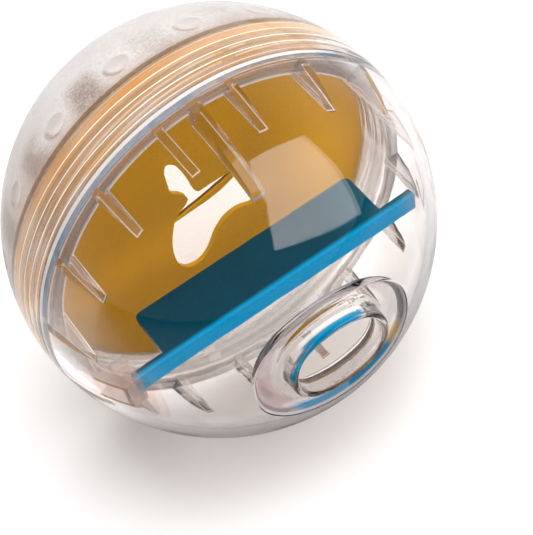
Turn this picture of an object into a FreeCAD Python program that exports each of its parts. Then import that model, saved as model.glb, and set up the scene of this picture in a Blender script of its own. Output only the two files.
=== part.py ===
import FreeCAD, Part
import math
import os
import Sketcher
from FreeCAD import Vector, Placement, Rotation

# Slow feeder puzzle ball: two clear shells screwed together, an amber divider with a wavy
# port and a blue baffle shelf. Origin at the centre of the ball, +Z square to the shelf,
# the outlet faces -Y, the screw axis is Y. Millimetres.

os.makedirs("parts", exist_ok=True)
doc = FreeCAD.newDocument("SlowFeederPuzzle")

# ---------------------------------------------------------------- dimensions
DIMS = [
    ("ball_r", 50.8, "outside radius of the ball"),
    ("inner_r", 48.4, "inside radius of both shells"),
    ("seam_front", 4.75, "rear face of the shoulder, ahead of the centre"),
    ("seam_rear", 4.45, "end of the rear skirt, ahead of the centre"),
    ("shoulder_y", 6.2, "front face of the shoulder, ahead of the centre"),
    ("neck_in", 44.4, "bore of the neck"),
    ("neck_out", 46.2, "outside of the neck"),
    ("neck_end", 4.6, "end of the neck, behind the centre"),
    ("male_crest", 47.45, "crest of the outside thread"),
    ("female_bore", 47.8, "bore of the rear skirt"),
    ("female_crest", 46.6, "crest of the inside thread"),
    ("lead", 7.8, "advance per turn of the three-start thread"),
    ("male_run", 5.7, "length of the outside thread"),
    ("female_run", 5.9, "length of the inside thread"),
    ("starts", 3, "thread starts"),
    ("rib_count", 16, "gusset ribs under the shoulder"),
    ("rib_thick", 2.2, "thickness of a rib"),
    ("rib_in", 44.0, "free edge of the gusset ribs"),
    ("long_rib_thick", 2.8, "thickness of the long rib"),
    ("notch_turn", 16.0, "azimuth of the first key notch"),
    ("notch_wide", 3.6, "width of a key notch"),
    ("notch_deep", 2.1, "depth of a key notch"),
    ("bead_in", 46.9, "inside radius of the snap bead"),
    ("stop_in", 45.6, "inside radius of the stop ring"),
    ("stop_y", 8.6, "stop ring, behind the centre"),
    ("dimple_count", 16, "dimples round the rear shell"),
    ("dimple_tool", 8.13, "radius of a dimple's surface"),
    ("disc_r", 47.3, "radius of the divider"),
    ("disc_y", 4.9, "front face of the divider, behind the centre"),
    ("disc_thick", 1.2, "thickness of the divider"),
    ("rim_deep", 2.1, "rim behind the divider"),
    ("rim_in", 45.6, "inside radius of the rim"),
    ("key_wide", 2.8, "width of a key lug"),
    ("key_deep", 1.8, "depth of a key lug"),
    ("bar_deep", 0.8, "depth of the cross bar behind the port"),
    ("shelf_half", 30.0, "half width of the shelf"),
    ("shelf_back", 9.6, "back edge of the shelf, ahead of the centre"),
    ("shelf_front", 24.6, "front face of the flange, ahead of the centre"),
    ("shelf_thick", 2.0, "thickness of the shelf"),
    ("flange_half", 38.6, "half width of the flange"),
    ("flange_thick", 2.2, "thickness of the flange"),
    ("flange_tall", 4.9, "height of the flange"),
    ("guide_gap", 0.35, "clearance between flange and guide rib"),
    ("guide_thick", 1.0, "thickness of a guide rib"),
    ("guide_x", 37.4, "free edge of the guide ribs"),
    ("guide_end", 25.9, "front end of the guides, ahead of the centre"),
    ("floor_y", 45.4, "floor of the outlet dish, ahead of the centre"),
    ("back_y", 43.5, "inside of the outlet dish, ahead of the centre"),
    ("lip_y", 50.2, "lip of the outlet, ahead of the centre"),
]
sheet = doc.addObject("Spreadsheet::Sheet", "Dims")
D = {}
for i, (name, value, words) in enumerate(DIMS):
    row = str(i + 1)
    sheet.set("A" + row, words)
    sheet.set("B" + row, str(value))
    sheet.setAlias("B" + row, name)
    D[name] = value
doc.recompute()


def E(name):
    return "Dims." + name


# ---------------------------------------------------------------- helpers
def origin_item(body, role):
    for o in body.Origin.OriginFeatures:
        if o.Role == role:
            return o
    raise ValueError(role)


def new_body(label):
    body = doc.addObject("PartDesign::Body", label)
    body.Label = label
    return body


def new_sketch(body, role, name, offset=None):
    sk = body.newObject("Sketcher::SketchObject", name)
    sk.AttachmentSupport = [(origin_item(body, role), "")]
    sk.MapMode = "FlatFace"
    if offset is not None:
        sk.AttachmentOffset = offset
    return sk


def pin(sk, geo, pos, axis, value, expr=None):
    """Hold one coordinate of a sketch point, tied to the sheet when expr is given."""
    if abs(value) < 1e-9:
        sk.addConstraint(Sketcher.Constraint("PointOnObject", geo, pos, -2 if axis == 0 else -1))
        return
    kind = "DistanceX" if axis == 0 else "DistanceY"
    if value > 0:
        n = sk.addConstraint(Sketcher.Constraint(kind, -1, 1, geo, pos, value))
    else:
        n = sk.addConstraint(Sketcher.Constraint(kind, geo, pos, -1, 1, -value))
    if expr:
        sk.setExpression("Constraints[%d]" % n, expr)


def polygon(sk, points):
    """Closed outline. points: (x, y, xexpr, yexpr)."""
    first = sk.GeometryCount
    n = len(points)
    for i in range(n):
        a = points[i]
        b = points[(i + 1) % n]
        sk.addGeometry(Part.LineSegment(Vector(a[0], a[1], 0), Vector(b[0], b[1], 0)), False)
    for i in range(n):
        sk.addConstraint(Sketcher.Constraint("Coincident", first + i, 2, first + (i + 1) % n, 1))
    for i, p in enumerate(points):
        pin(sk, first + i, 1, 0, p[0], p[2])
        pin(sk, first + i, 1, 1, p[1], p[3])


def arc_about_origin(sk, radius, a0, a1, expr):
    """Arc about the sketch origin, its radius tied to the sheet."""
    g = sk.addGeometry(Part.ArcOfCircle(Part.Circle(Vector(0, 0, 0), Vector(0, 0, 1), radius), a0, a1), False)
    sk.addConstraint(Sketcher.Constraint("Coincident", g, 3, -1, 1))
    n = sk.addConstraint(Sketcher.Constraint("Radius", g, radius))
    sk.setExpression("Constraints[%d]" % n, expr)
    return g


def line(sk, a, b):
    return sk.addGeometry(Part.LineSegment(Vector(a[0], a[1], 0), Vector(b[0], b[1], 0)), False)


def join(sk, g0, p0, g1, p1):
    sk.addConstraint(Sketcher.Constraint("Coincident", g0, p0, g1, p1))


def oval(sk, a, b, r, cx, cz, ox=0.0, oz=0.0):
    """Smooth oval of eight arcs: half width a, half height b, corner radius r about (cx, cz), middle at (ox, oz)."""
    k = (cx * cx + cz * cz - (b - r) ** 2) / (2.0 * (b - r - cz))
    m = (cx * cx + cz * cz - (a - r) ** 2) / (2.0 * (a - r - cx))
    rt, rm = b + k, a + m
    # where the corner arc meets the flatter arcs
    ut = Vector(cx, cz + k, 0)
    ut.normalize()
    um = Vector(cx + m, cz, 0)
    um.normalize()
    pt = Vector(0, -k, 0) + ut * rt
    pm = Vector(-m, 0, 0) + um * rm
    at = math.atan2(ut.y, ut.x)
    am = math.atan2(um.y, um.x)
    gs = []

    def arc(c, rad, s, e):
        gs.append(sk.addGeometry(Part.ArcOfCircle(Part.Circle(Vector(ox + c[0], oz + c[1], 0), Vector(0, 0, 1), rad), s, e), False))

    arc((-m, 0), rm, -am, am)
    arc((cx, cz), r, am, at)
    arc((0, -k), rt, at, math.pi - at)
    arc((-cx, cz), r, math.pi - at, math.pi - am)
    arc((m, 0), rm, math.pi - am, math.pi + am)
    arc((-cx, -cz), r, math.pi + am, math.pi + at)
    arc((0, k), rt, math.pi + at, 2 * math.pi - at)
    arc((cx, -cz), r, 2 * math.pi - at, 2 * math.pi - am)
    for i in range(8):
        sk.addConstraint(Sketcher.Constraint("Coincident", gs[i], 2, gs[(i + 1) % 8], 1))
    for g in gs:
        sk.addConstraint(Sketcher.Constraint("Block", g))


def feature(body, kind, name):
    return body.newObject("PartDesign::" + kind, name)


def pad(body, sk, name, length, expr=None, reversed_=False, symmetric=False, pocket=False):
    f = feature(body, "Pocket" if pocket else "Pad", name)
    f.Profile = sk
    f.Type = "Length"
    f.Length = length
    if expr:
        f.setExpression("Length", expr)
    if symmetric:
        f.SideType = "Symmetric"
    f.Reversed = reversed_
    body.Tip = f
    return f


def around(body, originals, name, count, expr):
    f = feature(body, "PolarPattern", name)
    f.Originals = originals
    f.Axis = (origin_item(body, "Y_Axis"), [""])
    f.Angle = 360.0
    f.Occurrences = count
    f.setExpression("Occurrences", expr)
    body.Tip = f
    return f


def turned(deg):
    """Sketch on the YZ plane turned round the screw axis, from +Z towards +X."""
    return Placement(Vector(0, 0, 0), Rotation(Vector(1, 0, 0), deg))


def edges_where(shape, test):
    return ["Edge%d" % (i + 1) for i, e in enumerate(shape.Edges) if test(e)]


R, RI = D["ball_r"], D["inner_r"]

# ================================================================ front shell
front = new_body("front_shell")

sk = new_sketch(front, "YZ_Plane", "FrontProfile")
y0, y1 = D["seam_front"], D["shoulder_y"]
ro = math.sqrt(R * R - y0 * y0)
ri = math.sqrt(RI * RI - y1 * y1)
g_out = arc_about_origin(sk, R, math.atan2(ro, -y0), math.pi, E("ball_r"))
g_in = arc_about_origin(sk, RI, math.atan2(ri, -y1), math.pi, E("inner_r"))
l1 = line(sk, (-y0, ro), (-y0, D["neck_out"]))
l2 = line(sk, (-y0, D["neck_out"]), (D["neck_end"], D["neck_out"]))
l3 = line(sk, (D["neck_end"], D["neck_out"]), (D["neck_end"], D["neck_in"]))
l4 = line(sk, (D["neck_end"], D["neck_in"]), (-y1, D["neck_in"]))
l5 = line(sk, (-y1, D["neck_in"]), (-y1, ri))
l6 = line(sk, (-RI, 0), (-R, 0))
join(sk, g_out, 1, l1, 1)
join(sk, l1, 2, l2, 1)
join(sk, l2, 2, l3, 1)
join(sk, l3, 2, l4, 1)
join(sk, l4, 2, l5, 1)
join(sk, l5, 2, g_in, 1)
join(sk, g_in, 2, l6, 1)
join(sk, l6, 2, g_out, 2)
pin(sk, l1, 1, 0, -y0, E("seam_front"))
pin(sk, l1, 2, 0, -y0, E("seam_front"))
pin(sk, l2, 1, 1, D["neck_out"], E("neck_out"))
pin(sk, l3, 1, 0, D["neck_end"], E("neck_end"))
pin(sk, l3, 1, 1, D["neck_out"], E("neck_out"))
pin(sk, l4, 1, 0, D["neck_end"], E("neck_end"))
pin(sk, l4, 1, 1, D["neck_in"], E("neck_in"))
pin(sk, l5, 1, 0, -y1, E("shoulder_y"))
pin(sk, l5, 1, 1, D["neck_in"], E("neck_in"))
pin(sk, l5, 2, 0, -y1, E("shoulder_y"))
sk.addConstraint(Sketcher.Constraint("PointOnObject", l6, 1, -1))
sk.addConstraint(Sketcher.Constraint("PointOnObject", l6, 2, -1))
rev = feature(front, "Revolution", "FrontWall")
rev.Profile = sk
rev.ReferenceAxis = (sk, ["H_Axis"])
rev.Angle = 360.0
front.Tip = rev
doc.recompute()

# gusset ribs under the shoulder, free edge parallel to the screw axis
sk = new_sketch(front, "YZ_Plane", "RibProfile", turned(11.25))
polygon(sk, [(-5.5, D["rib_in"], None, E("rib_in")), (-5.5, 49.4, None, None), (-14.0, 47.6, None, None),
             (-20.5, 45.2, None, None), (-20.5, D["rib_in"], None, E("rib_in"))])
rib = pad(front, sk, "Rib", D["rib_thick"], E("rib_thick"), symmetric=True)
ribs = around(front, [rib], "RibRing", 16, E("rib_count"))

# one long rib above the middle of the shelf
sk = new_sketch(front, "YZ_Plane", "LongRibProfile")
RIB = [(-28.1, 35.1), (-30.2, 39.8), (-22.0, 44.5), (-14.0, 47.6), (-5.5, 49.4), (-5.5, 40.2)]
bow = Part.Arc(Vector(-5.5, 40.2, 0), Vector(-17.5, 38.7, 0), Vector(-28.1, 35.1, 0)).toShape().Curve
a0 = math.atan2(40.2 - bow.Center.y, -5.5 - bow.Center.x)
a1 = math.atan2(35.1 - bow.Center.y, -28.1 - bow.Center.x)
g0 = sk.addGeometry(Part.ArcOfCircle(Part.Circle(bow.Center, Vector(0, 0, 1), bow.Radius), min(a0, a1), max(a0, a1)), False)
sk.addConstraint(Sketcher.Constraint("Block", g0))
for a, b in zip(RIB[:-1], RIB[1:]):
    k = line(sk, a, b)
    sk.addConstraint(Sketcher.Constraint("Block", k))
pad(front, sk, "LongRib", D["long_rib_thick"], E("long_rib_thick"), symmetric=True)

# guides for the ends of the shelf's flange: a rib above, a rib below and a stop between them
g, t = D["guide_gap"], D["guide_thick"]
low = D["flange_tall"]


def guide_outline(sk, y_from):
    x_from = math.sqrt(49.4 ** 2 - y_from ** 2) - 0.4
    x_to = math.sqrt(49.4 ** 2 - D["guide_end"] ** 2) - 0.4
    polygon(sk, [(D["guide_x"], y_from, E("guide_x"), None), (x_from, y_from, None, None),
                 (x_to, -D["guide_end"], None, E("guide_end")), (D["guide_x"], -D["guide_end"], E("guide_x"), E("guide_end"))])


sk = new_sketch(front, "XY_Plane", "GuideTopOutline", Placement(Vector(0, 0, g), Rotation()))
guide_outline(sk, -18.0)
g1 = pad(front, sk, "GuideTop", t, E("guide_thick"))
sk = new_sketch(front, "XY_Plane", "GuideLowOutline", Placement(Vector(0, 0, -low - g), Rotation()))
guide_outline(sk, -18.0)
g2 = pad(front, sk, "GuideLow", t, E("guide_thick"), reversed_=True)
sk = new_sketch(front, "XY_Plane", "GuideStopOutline", Placement(Vector(0, 0, -low - g - 0.5), Rotation()))
guide_outline(sk, -24.95)
g3 = pad(front, sk, "GuideStop", low + 2 * g + 1.0)
mir = feature(front, "Mirrored", "GuidesOtherSide")
mir.Originals = [g1, g2, g3]
mir.MirrorPlane = (origin_item(front, "YZ_Plane"), [""])
front.Tip = mir
doc.recompute()

# outlet: a shallow oval dish with a raised lip round the hole, all square to the screw axis
def at_y(y):
    return Placement(Vector(0, 0, y), Rotation())


def rho_max(e):
    b = e.BoundBox
    return max(abs(b.XMin), abs(b.XMax), abs(b.ZMin), abs(b.ZMax))


def level(e, y):
    """True for an edge that lies in the plane y ahead of the centre."""
    return all(abs(e.valueAt(e.FirstParameter + f * (e.LastParameter - e.FirstParameter)).y + y) < 0.01 for f in (0.1, 0.5, 0.9))


def on_sphere(e, r):
    return all(abs(e.valueAt(e.FirstParameter + f * (e.LastParameter - e.FirstParameter)).Length - r) < 0.02 for f in (0, 0.37, 0.5, 1))


def fillet(body, base, edges, name, radius):
    f = feature(body, "Fillet", name)
    f.Base = (base, edges)
    f.Radius = radius
    body.Tip = f
    doc.recompute()
    print(name, len(edges), f.State, flush=True)
    return f


DX, DZ = -0.45, -0.95
sk_a = new_sketch(front, "XZ_Plane", "BackA", at_y(45.9))
oval(sk_a, 20.7, 17.7, 14.79, 5.73, 2.21, DX, DZ)
sk_b = new_sketch(front, "XZ_Plane", "BackB", at_y(43.5))
sk_b.setExpression("AttachmentOffset.Base.z", E("back_y"))
oval(sk_b, 19.4, 15.6, 13.2, 6.0, 1.5, DX, DZ)
back = feature(front, "AdditiveLoft", "OutletBack")
back.Profile = sk_a
back.Sections = [sk_b]
back.Ruled = True
front.Tip = back
doc.recompute()
sk_a = new_sketch(front, "XZ_Plane", "DishMouth", at_y(52.0))
oval(sk_a, 24.6, 20.2, 17.1, 7.3, 2.3, DX, DZ)
sk_b = new_sketch(front, "XZ_Plane", "DishFloor", at_y(45.4))
sk_b.setExpression("AttachmentOffset.Base.z", E("floor_y"))
oval(sk_b, 19.34, 14.73, 12.45, 6.8, 1.4, DX, DZ)
dish = feature(front, "SubtractiveLoft", "Dish")
dish.Profile = sk_a
dish.Sections = [sk_b]
dish.Ruled = True
front.Tip = dish
doc.recompute()
edges = edges_where(dish.Shape, lambda e: level(e, D["floor_y"]) and rho_max(e) < 20.5)
dish = fillet(front, dish, edges, "DishRound", 1.3)
sk = new_sketch(front, "XZ_Plane", "LipOutline", at_y(D["lip_y"]))
sk.setExpression("AttachmentOffset.Base.z", E("lip_y"))
oval(sk, 13.0, 10.4, 8.6, 4.1, 1.1)
lip = pad(front, sk, "Lip", D["lip_y"] - 44.5, "Dims.lip_y - 44.5", reversed_=True)
doc.recompute()
edges = edges_where(lip.Shape, lambda e: level(e, D["floor_y"]) and rho_max(e) < 13.3)
lip = fillet(front, lip, edges, "LipFoot", 1.0)
sk = new_sketch(front, "XZ_Plane", "HoleMouth", at_y(51.0))
oval(sk, 11.25, 8.75, 7.2, 3.75, 0.95)
sk2 = new_sketch(front, "XZ_Plane", "HoleInside", at_y(42.0))
oval(sk2, 10.95, 8.45, 6.9, 3.75, 0.95)
hole = feature(front, "SubtractiveLoft", "OutletHole")
hole.Profile = sk
hole.Sections = [sk2]
hole.Ruled = True
front.Tip = hole
doc.recompute()
edges = edges_where(hole.Shape, lambda e: level(e, D["lip_y"]) and rho_max(e) < 13.2)
hole = fillet(front, hole, edges, "LipRound", 0.75)
edges = edges_where(hole.Shape, lambda e: level(e, D["back_y"]) and rho_max(e) < 11.3)
hole = fillet(front, hole, edges, "HoleBackRound", 2.6)
edges = edges_where(hole.Shape, lambda e: on_sphere(e, R) and e.BoundBox.YMax < -44.0 and e.Length > 1.0 and rho_max(e) < 22.5)
hole = fillet(front, hole, edges, "RimRound", 0.6)


def thread(body, name, start_az, y_start, foot, crest, run):
    """One start of a right-handed thread: a ridge from foot to crest, wider at the foot."""
    sk = new_sketch(body, "YZ_Plane", name + "Profile", turned(start_az))
    wf, wc = 0.5, 0.22
    ends = [(-wf, foot[0]), (wf, foot[0]), (wc, crest[0]), (-wc, crest[0])]
    polygon(sk, [(y_start + e[0], e[1], None, foot[1] if abs(e[0]) == wf else crest[1]) for e in ends])
    f = feature(body, "AdditiveHelix", name)
    f.Profile = sk
    f.ReferenceAxis = (sk, ["H_Axis"])
    f.Mode = "pitch-height-angle"
    f.Pitch = D["lead"]
    f.Height = D[run]
    f.LeftHanded = False
    f.setExpression("Pitch", E("lead"))
    f.setExpression("Height", E(run))
    body.Tip = f
    doc.recompute()
    return f


male = thread(front, "MaleThread", 0.0, -3.1, (D["neck_out"] - 0.25, "Dims.neck_out - 0.25"),
              (D["male_crest"], E("male_crest")), "male_run")
around(front, [male], "MaleStarts", 3, E("starts"))
doc.recompute()

# two opposite key notches in the end of the neck, and the flats that run on from them across the thread
NT = math.radians(D["notch_turn"])


def notch_box(sk, r0, r1):
    hw = D["notch_wide"] / 2
    pts = [(-hw, r0), (hw, r0), (hw, r1), (-hw, r1)]
    polygon(sk, [(x * math.cos(NT) + z * math.sin(NT), z * math.cos(NT) - x * math.sin(NT), None, None) for x, z in pts])


sk = new_sketch(front, "XZ_Plane", "NotchOutline", at_y(-D["neck_end"]))
sk.setExpression("AttachmentOffset.Base.z", "-Dims.neck_end")
notch_box(sk, 43.6, 48.2)
notch = pad(front, sk, "Notch", D["notch_deep"], E("notch_deep"), reversed_=True, pocket=True)
around(front, [notch], "NotchPair", 2, "2")
sk = new_sketch(front, "XZ_Plane", "FlatOutline", at_y(-D["neck_end"]))
sk.setExpression("AttachmentOffset.Base.z", "-Dims.neck_end")
notch_box(sk, D["neck_out"] + 0.02, 47.7)
flat = pad(front, sk, "Flat", D["neck_end"] + 4.7, "Dims.neck_end + 4.7", reversed_=True, pocket=True)
around(front, [flat], "FlatPair", 2, "2")
doc.recompute()

# ================================================================ rear shell
rear = new_body("rear_shell")
sk = new_sketch(rear, "YZ_Plane", "RearProfile")
ys, ye = D["seam_rear"], D["stop_y"]
ro = math.sqrt(R * R - ys * ys)
fb = D["female_bore"]
yb = math.sqrt(RI * RI - fb * fb)
g_out = arc_about_origin(sk, R, 0.0, math.atan2(ro, -ys), E("ball_r"))
ss = math.sqrt(RI * RI - (ye + 1.6) ** 2)
g_in = arc_about_origin(sk, RI, 0.0, math.atan2(ss, ye + 1.6), E("inner_r"))
s0 = math.sqrt(RI * RI - ye * ye)
g_in2 = arc_about_origin(sk, RI, math.atan2(s0, ye), math.atan2(fb, yb), E("inner_r"))
si = D["stop_in"]
bi = D["bead_in"]
l0 = line(sk, (-ys, ro), (-ys, fb))
l1 = line(sk, (-ys, fb), (3.45, fb))
l2 = line(sk, (3.45, fb), (3.75, bi))
l3 = line(sk, (3.75, bi), (4.35, bi))
l4 = line(sk, (4.35, bi), (4.55, fb))
l5 = line(sk, (4.55, fb), (yb, fb))
l6 = line(sk, (ye, s0), (ye, si))
l7 = line(sk, (ye, si), (ye + 0.8, si))
l8 = line(sk, (ye + 0.8, si), (ye + 1.6, ss))
l9 = line(sk, (RI, 0), (R, 0))
join(sk, g_out, 2, l0, 1)
join(sk, l0, 2, l1, 1)
join(sk, l1, 2, l2, 1)
join(sk, l2, 2, l3, 1)
join(sk, l3, 2, l4, 1)
join(sk, l4, 2, l5, 1)
join(sk, l5, 2, g_in2, 2)
join(sk, g_in2, 1, l6, 1)
join(sk, l6, 2, l7, 1)
join(sk, l7, 2, l8, 1)
join(sk, l8, 2, g_in, 2)
join(sk, g_in, 1, l9, 1)
join(sk, l9, 2, g_out, 1)
pin(sk, l0, 1, 0, -ys, E("seam_rear"))
pin(sk, l0, 2, 0, -ys, E("seam_rear"))
pin(sk, l0, 2, 1, fb, E("female_bore"))
pin(sk, l1, 2, 0, 3.45)
pin(sk, l1, 2, 1, fb, E("female_bore"))
pin(sk, l2, 2, 0, 3.75)
pin(sk, l2, 2, 1, bi, E("bead_in"))
pin(sk, l3, 2, 0, 4.35)
pin(sk, l3, 2, 1, bi, E("bead_in"))
pin(sk, l4, 2, 0, 4.55)
pin(sk, l4, 2, 1, fb, E("female_bore"))
pin(sk, l5, 2, 1, fb, E("female_bore"))
pin(sk, l6, 1, 0, ye, E("stop_y"))
pin(sk, l6, 2, 0, ye, E("stop_y"))
pin(sk, l6, 2, 1, si, E("stop_in"))
pin(sk, l7, 2, 0, ye + 0.8, "Dims.stop_y + 0.8")
pin(sk, l7, 2, 1, si, E("stop_in"))
pin(sk, l8, 2, 0, ye + 1.6, "Dims.stop_y + 1.6")
sk.addConstraint(Sketcher.Constraint("PointOnObject", l9, 1, -1))
sk.addConstraint(Sketcher.Constraint("PointOnObject", l9, 2, -1))
rev = feature(rear, "Revolution", "RearWall")
rev.Profile = sk
rev.ReferenceAxis = (sk, ["H_Axis"])
rev.Angle = 360.0
rear.Tip = rev
doc.recompute()

# ring of dimples
pol = math.radians(73.2)
az = math.radians(14.7)
d = R - 0.7 + D["dimple_tool"]
dim = feature(rear, "SubtractiveSphere", "Dimple")
dim.Radius = D["dimple_tool"]
dim.setExpression("Radius", E("dimple_tool"))
dim.Placement = Placement(Vector(d * math.sin(pol) * math.sin(az), d * math.cos(pol), d * math.sin(pol) * math.cos(az)), Rotation())
rear.Tip = dim
doc.recompute()
around(rear, [dim], "DimpleRing", 16, E("dimple_count"))
doc.recompute()
# half a pitch behind the outside thread
female = thread(rear, "FemaleThread", 45.0, -3.1 - 1.3 + 7.8 * 45.0 / 360.0, (D["female_bore"] + 0.25, "Dims.female_bore + 0.25"),
                (D["female_crest"], E("female_crest")), "female_run")
around(rear, [female], "FemaleStarts", 3, E("starts"))
doc.recompute()

# ================================================================ divider
divider = new_body("divider")
# front face of the disc; XZ sketches look along -Y, so the offset is -y
sk = new_sketch(divider, "XZ_Plane", "DiscOutline", at_y(-D["disc_y"]))
sk.setExpression("AttachmentOffset.Base.z", "-Dims.disc_y")
c = sk.addGeometry(Part.Circle(Vector(0, 0, 0), Vector(0, 0, 1), D["disc_r"]), False)
sk.addConstraint(Sketcher.Constraint("Coincident", c, 3, -1, 1))
n = sk.addConstraint(Sketcher.Constraint("Radius", c, D["disc_r"]))
sk.setExpression("Constraints[%d]" % n, E("disc_r"))
disc = pad(divider, sk, "Disc", D["disc_thick"], E("disc_thick"), reversed_=True)
doc.recompute()

# rim behind the disc
sk = new_sketch(divider, "XZ_Plane", "RimOutline", at_y(-D["disc_y"] - D["disc_thick"]))
sk.setExpression("AttachmentOffset.Base.z", "-Dims.disc_y - Dims.disc_thick")
for key in ("disc_r", "rim_in"):
    c = sk.addGeometry(Part.Circle(Vector(0, 0, 0), Vector(0, 0, 1), D[key]), False)
    sk.addConstraint(Sketcher.Constraint("Coincident", c, 3, -1, 1))
    n = sk.addConstraint(Sketcher.Constraint("Radius", c, D[key]))
    sk.setExpression("Constraints[%d]" % n, E(key))
pad(divider, sk, "Rim", D["rim_deep"], E("rim_deep"), reversed_=True)

# wavy port: a smooth closed curve with one straight stretch along its top
PORT = [(7.3, 7.1), (9.2, 6.3), (10.4, 4.2), (11.2, 1.0), (11.9, -2.5), (12.4, -5.4), (12.1, -7.3), (10.8, -7.8), (9.3, -7.2),
        (7.4, -6.6), (5.3, -6.6), (3.5, -7.1), (1.9, -8.2), (0.6, -9.4), (-0.6, -10.8), (-1.6, -12.3), (-3.0, -14.1),
        (-5.3, -15.8), (-8.4, -15.8), (-10.9, -13.3), (-11.7, -9.2), (-11.2, -4.4), (-9.8, 0.2), (-7.8, 3.6), (-5.3, 5.2),
        (-4.1, 6.6), (-4.7, 8.9), (-6.0, 10.5), (-7.3, 11.8), (-7.65, 14.0), (-7.55, 17.0), (-7.35, 19.6), (-6.3, 21.1),
        (-5.0, 20.2), (-4.0, 18.0), (-3.1, 14.5), (-2.3, 11.0), (-1.9, 8.4), (-0.9, 6.9)]
sk = new_sketch(divider, "XZ_Plane", "PortOutline", at_y(-D["disc_y"] + 0.5))
curve = Part.BSplineCurve()
curve.interpolate([Vector(x, z, 0) for x, z in PORT])
s_geo = sk.addGeometry(curve, False)
top_line = line(sk, PORT[-1], PORT[0])
sk.addConstraint(Sketcher.Constraint("Block", s_geo))
sk.addConstraint(Sketcher.Constraint("Block", top_line))
port = pad(divider, sk, "Port", D["disc_thick"] + 2.0, "Dims.disc_thick + 2", reversed_=False, pocket=True)
doc.recompute()

# slim bowed bar across the back of the port
BAR = [(-12.0, 0.9), (-6.7, 1.1), (-2.2, 1.3), (1.1, 1.45), (4.7, 2.1), (8.0, 3.3), (14.5, 6.4),
       (14.5, 7.9), (8.0, 5.0), (5.6, 4.2), (2.2, 3.4), (-0.5, 2.9), (-3.8, 2.3), (-6.6, 1.75), (-12.0, 1.5)]
sk = new_sketch(divider, "XZ_Plane", "BarOutline", at_y(-D["disc_y"] - D["disc_thick"] + 0.4))
sk.setExpression("AttachmentOffset.Base.z", "-Dims.disc_y - Dims.disc_thick + 0.4")
polygon(sk, [(x, z, None, None) for x, z in BAR])
pad(divider, sk, "CrossBar", D["bar_deep"] + 0.4, "Dims.bar_deep + 0.4", reversed_=True)

# two key lugs that drop into opposite notches of the neck
sk = new_sketch(divider, "XZ_Plane", "KeyOutline", at_y(-D["disc_y"]))
kw = D["key_wide"] / 2
polygon(sk, [(x * math.cos(NT) + z * math.sin(NT), z * math.cos(NT) - x * math.sin(NT), None, None)
             for x, z in ((-kw, 44.75), (kw, 44.75), (kw, 45.85), (-kw, 45.85))])
key = pad(divider, sk, "Key", D["key_deep"], E("key_deep"), reversed_=False)
kp = feature(divider, "PolarPattern", "KeyPair")
kp.Originals = [key]
kp.Axis = (origin_item(divider, "Y_Axis"), [""])
kp.Angle = 360.0
kp.Occurrences = 2
divider.Tip = kp
doc.recompute()

# ================================================================ shelf
shelf = new_body("shelf")
sk = new_sketch(shelf, "XY_Plane", "ShelfOutline")
w, yb_, yf = D["shelf_half"], D["shelf_back"], D["shelf_front"]
polygon(sk, [(-w, -yf + 1.0, E("shelf_half"), "Dims.shelf_front - 1"), (w, -yf + 1.0, E("shelf_half"), "Dims.shelf_front - 1"),
             (w, -yb_, E("shelf_half"), E("shelf_back")), (-w, -yb_, E("shelf_half"), E("shelf_back"))])
plate = pad(shelf, sk, "Plate", D["shelf_thick"], E("shelf_thick"), reversed_=True)
doc.recompute()
corner = edges_where(plate.Shape, lambda e: e.BoundBox.ZMax - e.BoundBox.ZMin > 1.9 and abs(e.BoundBox.YMin + yb_) < 0.01)
ch = feature(shelf, "Fillet", "BackCorners")
ch.Base = (plate, corner)
ch.Radius = 1.6
shelf.Tip = ch
doc.recompute()
sk = new_sketch(shelf, "XY_Plane", "FlangeOutline")
fw, ft = D["flange_half"], D["flange_thick"]
polygon(sk, [(-fw, -yf, E("flange_half"), E("shelf_front")), (fw, -yf, E("flange_half"), E("shelf_front")),
             (fw, -yf + ft, E("flange_half"), "Dims.shelf_front - Dims.flange_thick"),
             (-fw, -yf + ft, E("flange_half"), "Dims.shelf_front - Dims.flange_thick")])
pad(shelf, sk, "Flange", D["flange_tall"], E("flange_tall"), reversed_=True)
doc.recompute()

# ---------------------------------------------------------------- write
doc.recompute()
for o in doc.Objects:
    bad = [s for s in o.State if s in ("Invalid", "Error")]
    if bad:
        print("BAD", o.Name, o.Label, bad)
        raise SystemExit("object in error: " + o.Name)
for body in (front, rear, divider, shelf):
    s = body.Shape
    if s.isNull() or not s.isValid() or len(s.Solids) != 1:
        raise SystemExit("bad shape: %s solids %d valid %s" % (body.Label, len(s.Solids), s.isValid()))
    bb = s.BoundBox
    print("%-12s volume %.0f mm3  box %.2f %.2f %.2f  x %.2f..%.2f y %.2f..%.2f z %.2f..%.2f" % (
        body.Label, s.Volume, bb.XLength, bb.YLength, bb.ZLength, bb.XMin, bb.XMax, bb.YMin, bb.YMax, bb.ZMin, bb.ZMax))
    s.exportStep("parts/%s.step" % body.Label)
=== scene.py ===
import math

import bpy
from mathutils import Matrix, Vector

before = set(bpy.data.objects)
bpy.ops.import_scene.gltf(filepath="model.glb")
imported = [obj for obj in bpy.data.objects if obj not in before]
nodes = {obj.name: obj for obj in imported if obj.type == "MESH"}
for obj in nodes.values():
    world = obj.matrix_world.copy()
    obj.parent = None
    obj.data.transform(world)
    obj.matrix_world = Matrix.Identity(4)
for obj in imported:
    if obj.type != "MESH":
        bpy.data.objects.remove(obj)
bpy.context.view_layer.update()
R = 0.0508


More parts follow.
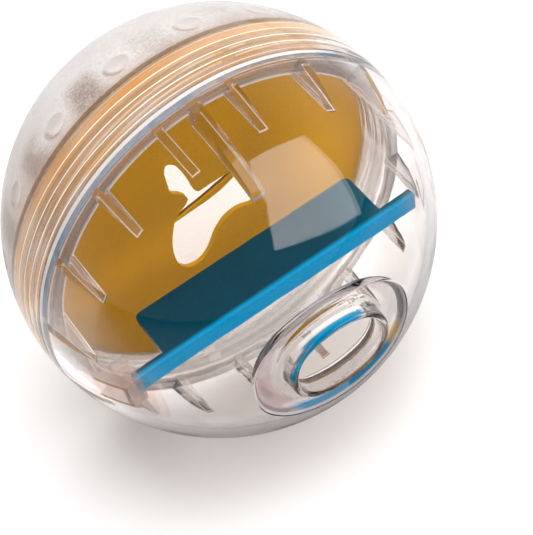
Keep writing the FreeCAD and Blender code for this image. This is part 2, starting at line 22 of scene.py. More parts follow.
# ------------------------------------------------------------------ node helpers
class Mat:
    """A material under construction, with short calls for the nodes it needs."""

    def __init__(self, name):
        self.m = bpy.data.materials.new(name)
        self.m.use_nodes = True
        self.t = self.m.node_tree
        self.t.nodes.clear()
        self.out = self.t.nodes.new("ShaderNodeOutputMaterial")
        self.coord = self.t.nodes.new("ShaderNodeTexCoord").outputs["Object"]

    def put(self, sock, v):
        if isinstance(v, bpy.types.NodeSocket):
            self.t.links.new(v, sock)
        elif v is not None:
            sock.default_value = v

    def math(self, op, a, b=None, c=None, clamp=False):
        n = self.t.nodes.new("ShaderNodeMath")
        n.operation = op
        n.use_clamp = clamp
        for i, v in enumerate((a, b, c)):
            if v is not None:
                self.put(n.inputs[i], v)
        return n.outputs[0]

    def ramp(self, v, lo, hi, a=0.0, b=1.0, smooth=True):
        n = self.t.nodes.new("ShaderNodeMapRange")
        n.interpolation_type = "SMOOTHSTEP" if smooth else "LINEAR"
        self.put(n.inputs["Value"], v)
        for k, x in (("From Min", lo), ("From Max", hi), ("To Min", a), ("To Max", b)):
            self.put(n.inputs[k], x)
        return n.outputs["Result"]

    def noise(self, scale, detail=2.0, rough=0.5, vec=None, distortion=0.0):
        n = self.t.nodes.new("ShaderNodeTexNoise")
        self.put(n.inputs["Vector"], vec or self.coord)
        n.inputs["Scale"].default_value = scale
        n.inputs["Detail"].default_value = detail
        n.inputs["Roughness"].default_value = rough
        n.inputs["Distortion"].default_value = distortion
        return n.outputs["Fac"]

    def scaled(self, sx, sy, sz):
        n = self.t.nodes.new("ShaderNodeMapping")
        self.put(n.inputs["Vector"], self.coord)
        n.inputs["Scale"].default_value = (sx, sy, sz)
        return n.outputs["Vector"]

    def mix(self, fac, a, b):
        n = self.t.nodes.new("ShaderNodeMix")
        n.data_type = "RGBA"
        self.put(n.inputs[0], fac)
        for sock, v in ((n.inputs[6], a), (n.inputs[7], b)):
            self.put(sock, v if isinstance(v, bpy.types.NodeSocket) else (*v, 1.0))
        return n.outputs[2]

    def both(self, *v):
        out = v[0]
        for w in v[1:]:
            out = self.math("MULTIPLY", out, w)
        return out

    def along(self, x, y, z, d):
        """How far the point lies along direction d, in metres."""
        q = Vector(d).normalized()
        out = self.math("MULTIPLY", x, q[0])
        out = self.math("MULTIPLY_ADD", y, q[1], out)
        return self.math("MULTIPLY_ADD", z, q[2], out)

    def xyz(self):
        n = self.t.nodes.new("ShaderNodeSeparateXYZ")
        self.put(n.inputs[0], self.coord)
        return n.outputs[0], n.outputs[1], n.outputs[2]

    def bump(self, height, strength, distance, normal=None):
        n = self.t.nodes.new("ShaderNodeBump")
        self.put(n.inputs["Height"], height)
        self.put(n.inputs["Strength"], strength)
        n.inputs["Distance"].default_value = distance
        if normal is not None:
            self.put(n.inputs["Normal"], normal)
        return n.outputs[0]

    def principled(self, **kw):
        n = self.t.nodes.new("ShaderNodeBsdfPrincipled")
        for k, v in kw.items():
            name = k.replace("_", " ")
            if name == "Base Color" and not isinstance(v, bpy.types.NodeSocket):
                v = (*v, 1.0)
            self.put(n.inputs[name], v)
        self.p = n
        return n

    def surface(self, sock):
        self.t.links.new(sock, self.out.inputs["Surface"])

    def lets_light_in(self, bsdf, tint, thin=None):
        """Clear plastic: lamps shine through it, so what is inside is lit. Where thin is set it bends light less."""
        lp = self.t.nodes.new("ShaderNodeLightPath")
        if thin is not None:
            straight = self.t.nodes.new("ShaderNodeBsdfTransparent")
            straight.inputs[0].default_value = (0.985, 0.98, 0.975, 1.0)
            part = self.t.nodes.new("ShaderNodeMixShader")
            self.put(part.inputs[0], thin)
            self.t.links.new(bsdf.outputs[0], part.inputs[1])
            self.t.links.new(straight.outputs[0], part.inputs[2])
            bsdf = part
        tr = self.t.nodes.new("ShaderNodeBsdfTransparent")
        tr.inputs[0].default_value = (*tint, 1.0)
        mx = self.t.nodes.new("ShaderNodeMixShader")
        self.put(mx.inputs[0], self.math("MAXIMUM", lp.outputs["Is Shadow Ray"], lp.outputs["Is Diffuse Ray"]))
        self.t.links.new(bsdf.outputs[0], mx.inputs[1])
        self.t.links.new(tr.outputs[0], mx.inputs[2])
        self.surface(mx.outputs[0])

    def absorbs(self, color, density):
        v = self.t.nodes.new("ShaderNodeVolumeAbsorption")
        v.inputs["Color"].default_value = (*color, 1.0)
        v.inputs["Density"].default_value = density
        self.t.links.new(v.outputs[0], self.out.inputs["Volume"])


def dress(node, mat):
    o = nodes[node]
    for i in range(len(o.material_slots)):
        o.material_slots[i].material = mat
    if not o.material_slots:
        o.data.materials.append(mat)


# ------------------------------------------------------------------ materials
def threads(k, x, y, z, rho):
    """The threaded zone, and how far it faces up; on that upper side the amber divider's orange is painted on as a
    reflection seen through the threads.
    """
    zone = k.both(k.ramp(y, -0.0050, -0.0042, 0.0, 1.0), k.ramp(y, 0.0068, 0.0082, 1.0, 0.0), k.ramp(rho, 0.0435, 0.0445, 0.0, 1.0))
    side = k.ramp(k.along(x, y, z, (-0.55, 0.0, 0.83)), -0.004, 0.02, 0.0, 1.0)
    streak = k.ramp(k.noise(60.0, 2.0, 0.5, k.scaled(1.0, 11.0, 1.0)), 0.36, 0.60, 0.0, 1.0)
    amber_reflection_paint = k.mix(streak, (0.88, 0.76, 0.67), (0.86, 0.57, 0.30))
    return zone, side, amber_reflection_paint


def clear_front():
    k = Mat("clear_front")
    x, y, z = k.xyz()
    rho = k.math("SQRT", k.math("MULTIPLY_ADD", x, x, k.math("MULTIPLY", z, z)))
    # a moulding's slow unevenness, and the fine rub marks of a toy that rolls
    flow = k.noise(70.0, 2.0)
    rub = k.noise(900.0, 3.0, 0.6, k.scaled(1.0, 0.25, 1.0))
    rough = k.ramp(rub, 0.45, 0.8, 0.012, 0.05)
    n1 = k.bump(flow, 0.12, 0.0004)
    zone, side, amber_reflection_paint = threads(k, x, y, z, rho)
    # painted reflection: the upper side of the threads carries the amber's orange
    col = k.mix(zone, (1.0, 0.995, 0.993), k.mix(side, (0.95, 0.93, 0.92), amber_reflection_paint))
    # painted highlight: the seam's white line; painted sheen: the blue-grey band beside it, both on the upper side
    # only
    white = k.both(side, k.ramp(y, -0.0060, -0.0057, 0.0, 1.0), k.ramp(y, -0.0050, -0.0047, 1.0, 0.0), k.ramp(rho, 0.0470, 0.0476, 0.0, 1.0))
    bluegrey_sheen_paint = k.both(side, k.ramp(y, -0.0077, -0.0074, 0.0, 1.0), k.ramp(y, -0.0062, -0.0060, 1.0, 0.0), k.ramp(rho, 0.0490, 0.0495, 0.0, 1.0),
                   k.ramp(k.along(x, y, z, (-0.6, 0.0, 0.8)), 0.030, 0.042, 0.0, 1.0))
    # painted reflection: the shelf's blue, seen in the bore of the outlet, is painted along its upper half, with a
    # painted white highlight line just above it
    upper = k.both(k.ramp(rho, 0.0122, 0.0116, 0.0, 1.0), k.ramp(k.along(x, y, z, (-0.25, 0.0, 0.97)), 0.0035, 0.0055, 0.0, 1.0))
    bore_blue_reflection_paint = k.both(upper, k.ramp(y, -0.0498, -0.0494, 0.0, 1.0), k.ramp(y, -0.0482, -0.0485, 0.0, 1.0))
    bore_highlight_paint = k.both(upper, k.ramp(y, -0.0482, -0.0479, 0.0, 1.0), k.ramp(y, -0.0470, -0.0473, 0.0, 1.0),
                   k.ramp(k.along(x, y, z, (-0.25, 0.0, 0.97)), 0.0055, 0.0075, 0.0, 1.0))
    col = k.mix(k.math("MULTIPLY", bore_blue_reflection_paint, 0.98), col, (0.0, 0.23, 0.46))
    # ribs, guides, ledge and neck carry a little milky bloom
    r = k.math("SQRT", k.math("MULTIPLY_ADD", y, y, k.math("MULTIPLY", rho, rho)))
    ribs = k.both(k.ramp(y, -0.0053, -0.0056, 0.0, 1.0), k.ramp(r, 0.04838, 0.04825, 0.0, 1.0), k.ramp(y, -0.0420, -0.0400, 0.0, 1.0))
    neck = k.both(k.ramp(y, -0.0066, -0.0060, 0.0, 1.0), k.ramp(rho, 0.0452, 0.0448, 0.0, 1.0))
    rim = k.both(k.ramp(y, -0.0450, -0.0454, 0.0, 1.0), k.ramp(rho, 0.0150, 0.0162, 0.0, 1.0), k.ramp(r, 0.05075, 0.05065, 0.0, 1.0))
    edge = k.both(rim, k.ramp(r, 0.0483, 0.0489, 0.0, 1.0))
    brim = k.both(rim, k.ramp(r, 0.0500, 0.0503, 0.0, 1.0))
    edge = k.math("MULTIPLY", edge, k.math("SUBTRACT", 1.0, brim))
    # painted reflections on the wall of the dish: the shelf's blue along its lower side and the amber's orange at its
    # lower right
    rim_blue_reflection_paint = k.both(edge, k.ramp(z, -0.0112, -0.0132, 0.0, 1.0), k.ramp(x, -0.0150, -0.0095, 0.0, 1.0))
    rim_amber_reflection_paint = k.both(edge, k.ramp(x, 0.0120, 0.0135, 0.0, 1.0), k.ramp(z, -0.0058, -0.0100, 0.0, 0.85), k.ramp(z, -0.0135, -0.0118, 0.0, 1.0))
    # painted reflection: the shelf's blue goes on over the shoulder of the lip
    oval = k.math("SQRT", k.math("ADD", k.math("POWER", k.math("MULTIPLY", k.math("ABSOLUTE", x), 1.0 / 0.0130), 2.0),
                                 k.math("POWER", k.math("MULTIPLY", k.math("ABSOLUTE", z), 1.0 / 0.0104), 2.0)))
    lip_blue_reflection_paint = k.both(k.ramp(oval, 0.93, 0.95, 0.0, 1.0), k.ramp(oval, 1.01, 1.04, 1.0, 0.0), k.ramp(y, -0.0486, -0.0491, 0.0, 1.0),
                   k.ramp(k.along(x, y, z, (-0.35, 0.0, 0.94)), 0.0045, 0.0065, 0.0, 1.0))
    # painted shade: the rim of the dish is darker mauve towards its upper-left, in blotches
    rim_mauve_shade_paint = k.math("MULTIPLY", k.ramp(k.along(x, y, z, (-0.62, 0.0, 0.78)), -0.012, 0.004, 0.0, 1.0), k.ramp(k.noise(160.0, 2.0), 0.35, 0.6, 0.55, 1.0))
    # painted highlight: the corners along the free edge of a rib, and its end, are painted pale and milky where they
    # would catch the light
    t = k.math("MULTIPLY", y, -1.0)
    bow = k.math("MULTIPLY_ADD", t, k.math("MULTIPLY_ADD", t, -9.496, 0.0934), 0.039974)
    mid = k.both(k.ramp(k.math("ABSOLUTE", x), 0.0016, 0.0017, 1.0, 0.0), k.ramp(z, 0.0, 0.001, 0.0, 1.0))
    turn = k.math("MULTIPLY_ADD", k.math("ARCTAN2", x, z), 1.0 / math.radians(22.5), 8.0)
    lateral = k.both(k.math("ABSOLUTE", k.math("SUBTRACT", k.math("FRACT", turn), 0.5)), rho, math.radians(22.5))
    rib_highlight_paint = k.both(k.ramp(rho, 0.0443, 0.04415, 0.0, 1.0), k.ramp(lateral, 0.00080, 0.00090, 0.0, 1.0))
    rib_highlight_paint = k.math("MAXIMUM", rib_highlight_paint, k.ramp(y, -0.01935, -0.01960, 0.0, 1.0))
    long_free = k.both(k.ramp(k.math("SUBTRACT", rho, bow), 0.0003, 0.00010, 0.0, 1.0), k.ramp(k.math("ABSOLUTE", x), 0.00110, 0.00120, 0.0, 1.0))
    long_free = k.math("MAXIMUM", long_free, k.ramp(y, -0.0279, -0.0281, 0.0, 1.0))
    rib_highlight_paint = k.math("MULTIPLY", ribs, k.math("ADD", k.math("MULTIPLY", rib_highlight_paint, k.math("SUBTRACT", 1.0, mid)), k.math("MULTIPLY", long_free, mid)))
    # the edges of the ledge get the same painted highlight
    ledge = k.math("MAXIMUM", k.ramp(rho, 0.04465, 0.04485, 1.0, 0.0), k.ramp(rho, 0.04745, 0.04765, 0.0, 1.0))
    ledge = k.both(ledge, k.ramp(y, -0.0064, -0.0063, 0.0, 1.0), k.ramp(rho, 0.04425, 0.04435, 0.0, 1.0), k.ramp(z, -0.004, 0.004, 0.0, 1.0))
    rib_highlight_paint = k.math("MAXIMUM", rib_highlight_paint, k.math("MULTIPLY", ribs, ledge))
    guide = k.both(k.ramp(k.math("ABSOLUTE", x), 0.0368, 0.0372, 0.0, 1.0), k.ramp(y, -0.0172, -0.0176, 0.0, 1.0), k.ramp(k.math("ABSOLUTE", z), 0.0075, 0.0070, 0.0, 1.0))
    rib_highlight_paint = k.math("MULTIPLY", rib_highlight_paint, k.math("SUBTRACT", 1.0, guide))
    bloom = k.math("MULTIPLY", k.both(k.ramp(k.math("DIVIDE", z, rho), 0.90, 0.96, 0.22, 0.05), k.ramp(z, -0.010, 0.0, 0.25, 1.0)), k.math("MULTIPLY_ADD", guide, -0.75, 1.0))
    ridge = k.both(k.ramp(rho, 0.0471, 0.0473, 0.0, 1.0), k.ramp(rho, 0.0476, 0.0478, 1.0, 0.0), k.ramp(y, -0.0046, -0.0044, 0.0, 1.0))
    bloom = k.math("MULTIPLY_ADD", k.math("MULTIPLY", guide, k.ramp(x, -0.02, 0.02, 1.0, 0.0)), 0.22, bloom)
    # painted highlight: the ends of the ribs on the lower side get more milk, so they do not go dark
    tip = k.both(ribs, k.ramp(y, -0.0155, -0.0185, 0.0, 1.0), k.ramp(y, -0.0225, -0.0210, 0.0, 1.0), k.ramp(z, -0.010, -0.006, 1.0, 0.0), k.math("SUBTRACT", 1.0, guide))
    bloom = k.math("MULTIPLY_ADD", tip, 0.25, bloom)
    # painted reflection: the lower half of the long rib is painted with the amber colour of the disc behind it
    rib_amber_reflection_paint = k.both(ribs, mid, k.ramp(y, -0.0150, -0.0175, 0.0, 1.0), k.math("SUBTRACT", 1.0, rib_highlight_paint))
    bloom = k.math("MULTIPLY_ADD", rib_amber_reflection_paint, 0.50, bloom)
    milk = k.math("ADD", k.math("MULTIPLY", rib_highlight_paint, 0.40), k.math("MULTIPLY", ribs, bloom))
    milk = k.math("ADD", milk, k.math("ADD", k.math("MULTIPLY", bore_highlight_paint, 0.65), k.math("ADD", k.math("MULTIPLY", lip_blue_reflection_paint, 0.45), k.math("MULTIPLY", brim, 0.25))))
    milk = k.math("ADD", milk, k.math("ADD", k.both(neck, k.ramp(z, -0.010, 0.0, 0.2, 1.0), 0.10), k.math("MULTIPLY", rim, k.math("MULTIPLY_ADD", rim_mauve_shade_paint, 0.18, 0.28))))
    milk = k.math("ADD", milk, k.math("ADD", k.math("MULTIPLY", ridge, 0.45), k.math("MULTIPLY", bluegrey_sheen_paint, 0.30)))
    milk = k.math("ADD", milk, k.math("MULTIPLY", k.math("MAXIMUM", k.math("MAXIMUM", rim_blue_reflection_paint, rim_amber_reflection_paint), bore_blue_reflection_paint), 0.3))
    milk = k.math("ADD", milk, k.math("ADD", k.both(zone, side, 0.20), k.math("MULTIPLY", white, 0.5)))
    col = k.mix(ribs, col, k.mix(rib_highlight_paint, (0.93, 0.84, 0.82), (1.0, 0.95, 0.92)))
    col = k.mix(k.math("MULTIPLY", guide, k.ramp(x, -0.02, 0.02, 1.0, 0.0)), col, (0.86, 0.75, 0.71))
    col = k.mix(rib_amber_reflection_paint, col, (0.74, 0.44, 0.07))
    col = k.mix(ridge, col, (1.0, 0.96, 0.93))
    col = k.mix(bluegrey_sheen_paint, col, (0.36, 0.46, 0.60))
    col = k.mix(rim, col, k.mix(rim_mauve_shade_paint, (0.95, 0.92, 0.91), (0.76, 0.58, 0.59)))
    col = k.mix(brim, col, (0.90, 0.84, 0.84))
    col = k.mix(rim_blue_reflection_paint, col, (0.02, 0.33, 0.62))
    col = k.mix(rim_amber_reflection_paint, col, (0.88, 0.58, 0.22))
    col = k.mix(lip_blue_reflection_paint, col, (0.0, 0.27, 0.52))
    col = k.mix(bore_highlight_paint, col, (1.0, 0.99, 0.98))
    p = k.principled(Base_Color=col, Roughness=rough, IOR=1.49, Transmission_Weight=k.math("SUBTRACT", 1.0, milk), Normal=n1)
    under = k.both(zone, k.ramp(z, -0.004, -0.010, 0.0, 0.6))
    left = k.math("MULTIPLY", guide, k.ramp(x, -0.02, 0.02, 1.0, 0.0))
    clearer = k.math("MAXIMUM", guide, k.math("MULTIPLY_ADD", rib_amber_reflection_paint, -0.65, k.math("MULTIPLY_ADD", mid, 0.25, 0.55)))
    face = k.both(ribs, k.math("SUBTRACT", 1.0, rib_highlight_paint), k.math("SUBTRACT", clearer, k.math("MULTIPLY", left, 0.5)))
    lip = k.both(k.ramp(rho, 0.0124, 0.0128, 0.0, 0.35), k.ramp(rho, 0.0162, 0.0150, 0.0, 1.0), k.ramp(y, -0.0460, -0.0464, 0.0, 1.0))
    thin = k.math("MAXIMUM", k.math("MAXIMUM", face, under), k.math("MAXIMUM", lip, k.math("MULTIPLY", rim, 0.2)))
    k.lets_light_in(p, (0.88, 0.87, 0.865), thin)
    k.absorbs((0.925, 0.905, 0.9), 300.0)
    return k.m


def clear_rear():
    k = Mat("clear_rear")
    x, y, z = k.xyz()
    # the ring of polished dimples
    az = k.math("SUBTRACT", k.math("ARCTAN2", x, z), math.radians(3.45))
    u = k.math("FRACT", k.math("MULTIPLY", az, 1.0 / math.radians(22.5)))
    s = k.math("MULTIPLY", k.math("SUBTRACT", u, 0.5), math.radians(22.5) * 0.0488)
    t = k.math("MULTIPLY", k.math("SUBTRACT", y, 0.01468), 1.0 / 0.961)
    d = k.math("SQRT", k.math("ADD", k.math("MULTIPLY", s, s), k.math("MULTIPLY", t, t)))
    dimple = k.ramp(d, 0.0029, 0.0037, 1.0, 0.0)
    skirt = k.ramp(y, 0.0085, 0.0105, 1.0, 0.0)
    clear = k.math("MAXIMUM", dimple, skirt)
    grain = k.noise(2600.0, 1.0, 0.5)
    cloud = k.noise(120.0, 3.0, 0.55)
    frosted = k.ramp(cloud, 0.3, 0.7, 0.16, 0.24)
    rough = k.math("ADD", k.math("MULTIPLY", frosted, k.math("SUBTRACT", 1.0, clear)), 0.02)
    strength = k.math("MULTIPLY", k.math("SUBTRACT", 1.0, clear), 0.55)
    n1 = k.bump(k.noise(70.0, 2.0), 0.12, 0.0004)
    n2 = k.bump(grain, strength, 0.00035, n1)
    rho = k.math("SQRT", k.math("MULTIPLY_ADD", x, x, k.math("MULTIPLY", z, z)))
    zone, side, amber_reflection_paint = threads(k, x, y, z, rho)
    body = k.math("SUBTRACT", 1.0, skirt)
    haze = k.math("ADD", k.math("MULTIPLY", body, 0.36), k.both(zone, side, 0.20))
    # painted shade: brownish patches between the dimples; and the sandy grain of the frosting, left evenly pale
    # towards the bottom
    between = k.ramp(k.math("ABSOLUTE", k.math("SUBTRACT", u, 0.5)), 0.16, 0.42, 0.0, 1.0)
    dimple_gap_shade_paint = k.both(between, k.ramp(y, 0.0085, 0.0105, 0.0, 1.0), k.ramp(y, 0.0160, 0.0240, 1.0, 0.0), k.ramp(k.noise(48.0, 2.0, 0.6), 0.32, 0.52), body,
                   k.ramp(az, math.radians(-16.0), math.radians(-2.0), 1.0, 0.4))
    hem = k.both(k.ramp(y, 0.0080, 0.0095, 0.0, 1.0), k.ramp(y, 0.0105, 0.0150, 1.0, 0.0), 0.45)
    sand = k.math("MULTIPLY", k.ramp(k.noise(1500.0, 2.0, 0.6), 0.36, 0.62), k.math("SUBTRACT", 1.0, clear))
    sand = k.math("MAXIMUM", sand, k.ramp(z, -0.006, 0.012, 1.0, 0.0))
    col = k.mix(sand, (0.80, 0.75, 0.73), (0.96, 0.95, 0.945))
    # painted shade: the upper-left of the frosted half is painted darker beige
    col = k.mix(k.both(k.ramp(az, math.radians(-62.0), math.radians(-22.0), 0.5, 0.0), k.ramp(z, -0.006, 0.012, 0.0, 1.0)), col, (0.62, 0.52, 0.46))
    col = k.mix(hem, col, (0.62, 0.50, 0.44))
    col = k.mix(k.math("MULTIPLY", dimple_gap_shade_paint, k.ramp(sand, 0.0, 1.0, 1.0, 0.65)), col, (0.38, 0.285, 0.23))
    # painted reflection: the amber's orange on the upper side of the threads, as on the front shell
    col = k.mix(zone, col, k.mix(side, (0.95, 0.93, 0.92), amber_reflection_paint))
    # painted highlight: the thread's light lines, painted on the upper side of the skirt
    turn = k.math("MULTIPLY", k.math("ARCTAN2", x, z), 0.3 / math.pi)
    wind = k.math("ADD", k.math("MULTIPLY", k.math("SUBTRACT", y, 0.0015), 1.0 / 0.00262), turn)
    off = k.math("ABSOLUTE", k.math("SUBTRACT", k.math("FRACT", k.math("ADD", wind, 20.5)), 0.5))
    line = k.both(k.ramp(off, 0.035, 0.075, 1.0, 0.0), k.ramp(y, -0.0040, -0.0036, 0.0, 1.0), k.ramp(y, 0.0064, 0.0070, 1.0, 0.0),
                  k.ramp(rho, 0.0478, 0.0480, 0.0, 1.0), side)
    col = k.mix(line, col, (1.0, 0.97, 0.94))
    haze = k.math("MULTIPLY_ADD", line, 0.55, haze)
    # painted shade: a dark crescent on one side of each dimple's rim
    shade = k.math("MULTIPLY_ADD", s, -0.8, k.math("MULTIPLY", t, -0.6))
    dimple_crescent_shade = k.both(k.ramp(d, 0.0020, 0.0028, 0.0, 1.0), k.ramp(d, 0.0040, 0.0034, 0.0, 1.0), k.ramp(shade, 0.0010, 0.0026, 0.0, 0.75))
    col = k.mix(dimple_crescent_shade, col, (0.40, 0.31, 0.26))
    p = k.principled(Base_Color=col, Roughness=rough, IOR=1.49, Transmission_Weight=k.math("SUBTRACT", 1.0, haze), Normal=n2)
    k.lets_light_in(p, (0.88, 0.87, 0.865), k.both(zone, k.ramp(z, -0.004, -0.010, 0.0, 0.5)))
    k.absorbs((0.925, 0.905, 0.9), 150.0)
    return k.m


def amber():
    k = Mat("amber")
    x, y, z = k.xyz()
    cloud = k.noise(45.0, 3.0, 0.55)
    fine = k.noise(1800.0, 2.0, 0.5)
    col = k.mix(k.ramp(cloud, 0.3, 0.7), (0.63, 0.325, 0.008), (0.69, 0.355, 0.010))
    # painted light: the disc is painted brighter and more orange towards its right
    col = k.mix(k.ramp(x, 0.016, 0.036), col, (0.93, 0.485, 0.009))
    # painted shade: the slim bar across the back of the port is painted dark brown
    rho = k.math("SQRT", k.math("MULTIPLY_ADD", x, x, k.math("MULTIPLY", z, z)))
    bar_shade_paint = k.both(k.ramp(y, 0.00612, 0.0063, 0.0, 1.0), k.ramp(rho, 0.020, 0.022, 1.0, 0.0))
    col = k.mix(bar_shade_paint, col, (0.15, 0.075, 0.012))
    rough = k.ramp(fine, 0.3, 0.7, 0.22, 0.34)
    n1 = k.bump(fine, 0.08, 0.00005)
    n1 = k.bump(k.noise(60.0, 1.0), 0.1, 0.0003, n1)
    p = k.principled(Base_Color=col, Roughness=rough, IOR=1.5, Normal=n1, Subsurface_Weight=0.35, Subsurface_Scale=0.003,
                     Specular_IOR_Level=0.12)
    p.inputs["Subsurface Radius"].default_value = (1.0, 0.55, 0.12)
    k.surface(p.outputs[0])
    return k.m


def blue():
    k = Mat("blue")
    x, y, z = k.xyz()
    cloud = k.noise(60.0, 3.0, 0.55)
    fine = k.noise(1800.0, 2.0, 0.5)
    # painted shade: the shelf's top is a dark, shaded copy of the flange's blue, painted lighter towards the right
    shaded_top_paint = k.mix(k.ramp(cloud, 0.3, 0.7), (0.0, 0.052, 0.092), (0.0, 0.060, 0.102))
    edge = k.mix(k.ramp(cloud, 0.3, 0.7), (0.0, 0.375, 0.74), (0.0, 0.395, 0.78))
    shaded_top_paint = k.mix(k.ramp(x, 0.016, 0.028), shaded_top_paint, (0.0, 0.085, 0.135))
    front = k.ramp(y, -0.0244, -0.0228, 1.0, 0.0)
    col = k.mix(front, shaded_top_paint, edge)
    rough = k.ramp(fine, 0.3, 0.7, 0.2, 0.32)
    n1 = k.bump(fine, 0.08, 0.00005)
    p = k.principled(Base_Color=col, Roughness=rough, IOR=1.5, Normal=n1, Subsurface_Weight=0.15, Subsurface_Scale=0.002,
                     Specular_IOR_Level=0.08)
    p.inputs["Subsurface Radius"].default_value = (0.1, 0.6, 1.0)
    k.surface(p.outputs[0])
    return k.m


dress("front_shell", clear_front())
dress("rear_shell", clear_rear())
dress("divider", amber())
dress("shelf", blue())


# ------------------------------------------------------------------ floor
def floor_material():
    k = Mat("studio_paper")
    ray = k.t.nodes.new("ShaderNodeLightPath")
    paper = k.mix(k.noise(3.0, 3.0), (0.92, 0.92, 0.925), (0.95, 0.95, 0.95))
    x, y, z = k.xyz()
    # painted shade: the paper is painted darker where the ball mirrors it, most in front of the ball
    mirrored = k.math("MULTIPLY", k.math("MINIMUM", ray.outputs["Glossy Depth"], 1.0), k.ramp(y, -0.10, 0.02, 0.85, 0.25))
    k.principled(Base_Color=k.mix(mirrored, paper, (0.0, 0.0, 0.0)),
                 Roughness=k.ramp(k.noise(200.0, 2.0), 0.3, 0.7, 0.75, 0.9), Normal=k.bump(k.noise(900.0, 2.0), 0.05, 0.0002))
    # painted light: the paper seen through the ball glows, most behind it, which fills in its shade; the far paper
    # glows for the camera, so the backdrop stays white
    under = k.both(k.ramp(y, -0.016, 0.006, 0.0, 0.70), k.ramp(x, 0.030, 0.045, 1.0, 0.0))
    far = k.ramp(k.math("SQRT", k.math("MULTIPLY_ADD", x, x, k.math("MULTIPLY", y, y))), 0.35, 1.7, 0.0, 0.9)
    k.put(k.p.inputs["Emission Color"], (1.0, 0.99, 0.985, 1.0))
    k.put(k.p.inputs["Emission Strength"], k.math("MULTIPLY_ADD", ray.outputs["Is Transmission Ray"], k.math("MULTIPLY_ADD", mirrored, -0.4, k.math("ADD", under, 0.3)), k.math("MULTIPLY", far, ray.outputs["Is Camera Ray"])))
    k.surface(k.p.outputs[0])
    return k.m


me = bpy.data.meshes.new("studio_floor")
s = 3.0
zf = -R - 0.0001
me.from_pydata([(-s, -s, zf), (s, -s, zf), (s, s, zf), (-s, s, zf)], [], [(0, 1, 2, 3)])
me.materials.append(floor_material())
floor = bpy.data.objects.new("studio_floor", me)
bpy.context.scene.collection.objects.link(floor)

# ------------------------------------------------------------------ light
w = bpy.data.worlds.new("studio")
bpy.context.scene.world = w
w.use_nodes = True
bg = w.node_tree.nodes["Background"]
bg.inputs[0].default_value = (1.0, 1.0, 1.0, 1.0)
# a white studio, darker behind the photographer and in what the ball mirrors of it
wt = w.node_tree


def wnode(kind, **values):
    n = wt.nodes.new("ShaderNode" + kind)
    for key, value in values.items():
        n.inputs[key.replace("_", " ")].default_value = value
    return n


where = wnode("TexCoord")
dot = wnode("VectorMath")
dot.operation = "DOT_PRODUCT"
dot.inputs[1].default_value = (-0.2066, -0.5960, 0.7760)
wt.links.new(where.outputs["Generated"], dot.inputs[0])
ray = wnode("LightPath")


def fade(lo, hi, a, b):
    n = wnode("MapRange", From_Min=lo, From_Max=hi, To_Min=a, To_Max=b)
    n.interpolation_type = "SMOOTHSTEP"
    wt.links.new(dot.outputs["Value"], n.inputs["Value"])
    return n.outputs["Result"]


def choose(flag, no, yes):
    n = wt.nodes.new("ShaderNodeMix")
    n.data_type = "FLOAT"
    wt.links.new(ray.outputs[flag], n.inputs[0])
    for sock, v in ((n.inputs[2], no), (n.inputs[3], yes)):
        if isinstance(v, bpy.types.NodeSocket):
            wt.links.new(v, sock)
        else:
            sock.default_value = v
    return n.outputs[0]


level = choose("Is Diffuse Ray", choose("Is Transmission Ray", fade(-0.65, -0.05, 1.3, 0.03), fade(0.0, 0.55, 0.9, 0.25)), 0.16)
wt.links.new(choose("Is Camera Ray", level, 1.0), bg.inputs[1])


def area(name, centre, towards, size, size_y, radiance, up=(0, 0, 1), color=(1, 1, 1)):
    d = bpy.data.lights.new(name, "AREA")
    d.shape = "RECTANGLE"
    d.size, d.size_y = size, size_y
    d.energy = radiance * math.pi * size * size_y
    d.color = color
    o = bpy.data.objects.new(name, d)
    bpy.context.scene.collection.objects.link(o)
    zax = (Vector(centre) - Vector(towards)).normalized()
    xax = Vector(up).cross(zax).normalized()
    yax = zax.cross(xax)
    o.matrix_world = Matrix.Translation(centre) @ Matrix((xax, yax, zax)).transposed().to_4x4()
    return o


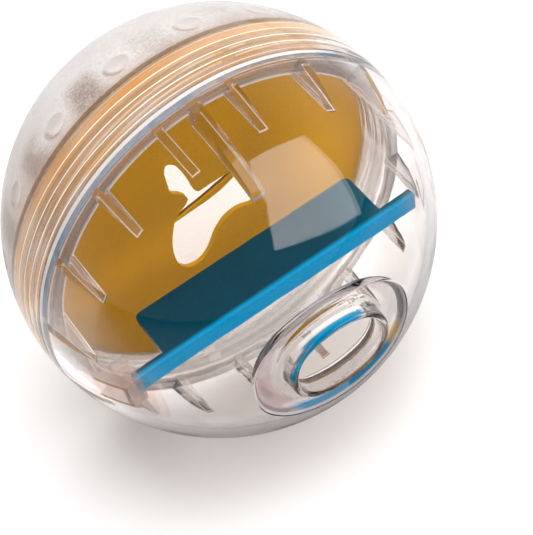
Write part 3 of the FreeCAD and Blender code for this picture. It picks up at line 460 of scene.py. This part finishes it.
def box_light(name, rays, reach, radiance):
    """A rectangular softbox whose corners lie along four directions from the ball."""
    a, b, c, d = [Vector(r).normalized() for r in rays]
    # a*ta - b*tb + c*tc = d*td with td = 1
    m = Matrix((a, -b, c)).transposed()
    ta, tb, tc = m.inverted() @ d
    pts = [a * ta, b * tb, c * tc, d * 1.0]
    mid = sum(pts, Vector()) / 4
    k = reach / mid.length
    pts = [p * k for p in pts]
    mid = mid * k
    u = ((pts[1] - pts[0]) + (pts[2] - pts[3])) / 2
    v = ((pts[0] - pts[3]) + (pts[1] - pts[2])) / 2
    zax = -(u.cross(v)).normalized()
    if zax.dot(mid) < 0:
        zax = -zax
    xax = (u - zax * u.dot(zax)).normalized()
    yax = zax.cross(xax)
    L = bpy.data.lights.new(name, "AREA")
    L.shape = "RECTANGLE"
    L.size, L.size_y = u.length, v.length
    L.energy = radiance * math.pi * u.length * v.length
    o = bpy.data.objects.new(name, L)
    bpy.context.scene.collection.objects.link(o)
    o.matrix_world = Matrix.Translation(mid) @ Matrix((xax, yax, zax)).transposed().to_4x4()
    print("box_light", name, [round(x, 3) for x in mid], "size", round(u.length, 3), round(v.length, 3),
          "skew", round(u.normalized().dot(v.normalized()), 3))
    return o


box_light("key_box", [(0.302, -0.339, 0.891), (0.756, -0.234, 0.611), (0.755, -0.654, 0.05), (0.037, -0.898, 0.437)], 0.7, 2.7)
# broad soft light from above for the paper and for what is inside the ball
top = area("top_wash", (0.3, 0.1, 1.5), (0.0, 0.0, 0.0), 1.4, 1.4, 5.35, up=(0, 1, 0))
top.visible_glossy = False
top.visible_transmission = False

# a lamp from behind on the left, which brightens the frosted half
back = area("back_wash", (-1.0, 0.75, 0.6), (0.0, 0.02, 0.0), 1.0, 1.0, 1.5)
back.visible_glossy = False
back.visible_transmission = False

# ------------------------------------------------------------------ camera
cam = bpy.data.cameras.new("camera")
cam.sensor_fit = "HORIZONTAL"
cam.sensor_width = 36.0
cam.lens = 36.0 * 2175.0425 / 533.0
cam.clip_start = 0.01
cam.clip_end = 20.0
co = bpy.data.objects.new("camera", cam)
bpy.context.scene.collection.objects.link(co)
right = Vector((0.8160282813, -0.5501100678, -0.1774169027))
up = Vector((0.5375287547, 0.6093921525, 0.5828413527))
fwd = Vector((0.2125104278, 0.5709817141, -0.7929812105))
co.matrix_world = Matrix.Translation((-0.1048939747, -0.3027398581, 0.3942205378)) @ Matrix((right, up, -fwd)).transposed().to_4x4()
bpy.context.scene.camera = co

vs = bpy.context.scene.view_settings
vs.view_transform = "Standard"
vs.look = "None"
vs.exposure = 0.0
vs.gamma = 1.0
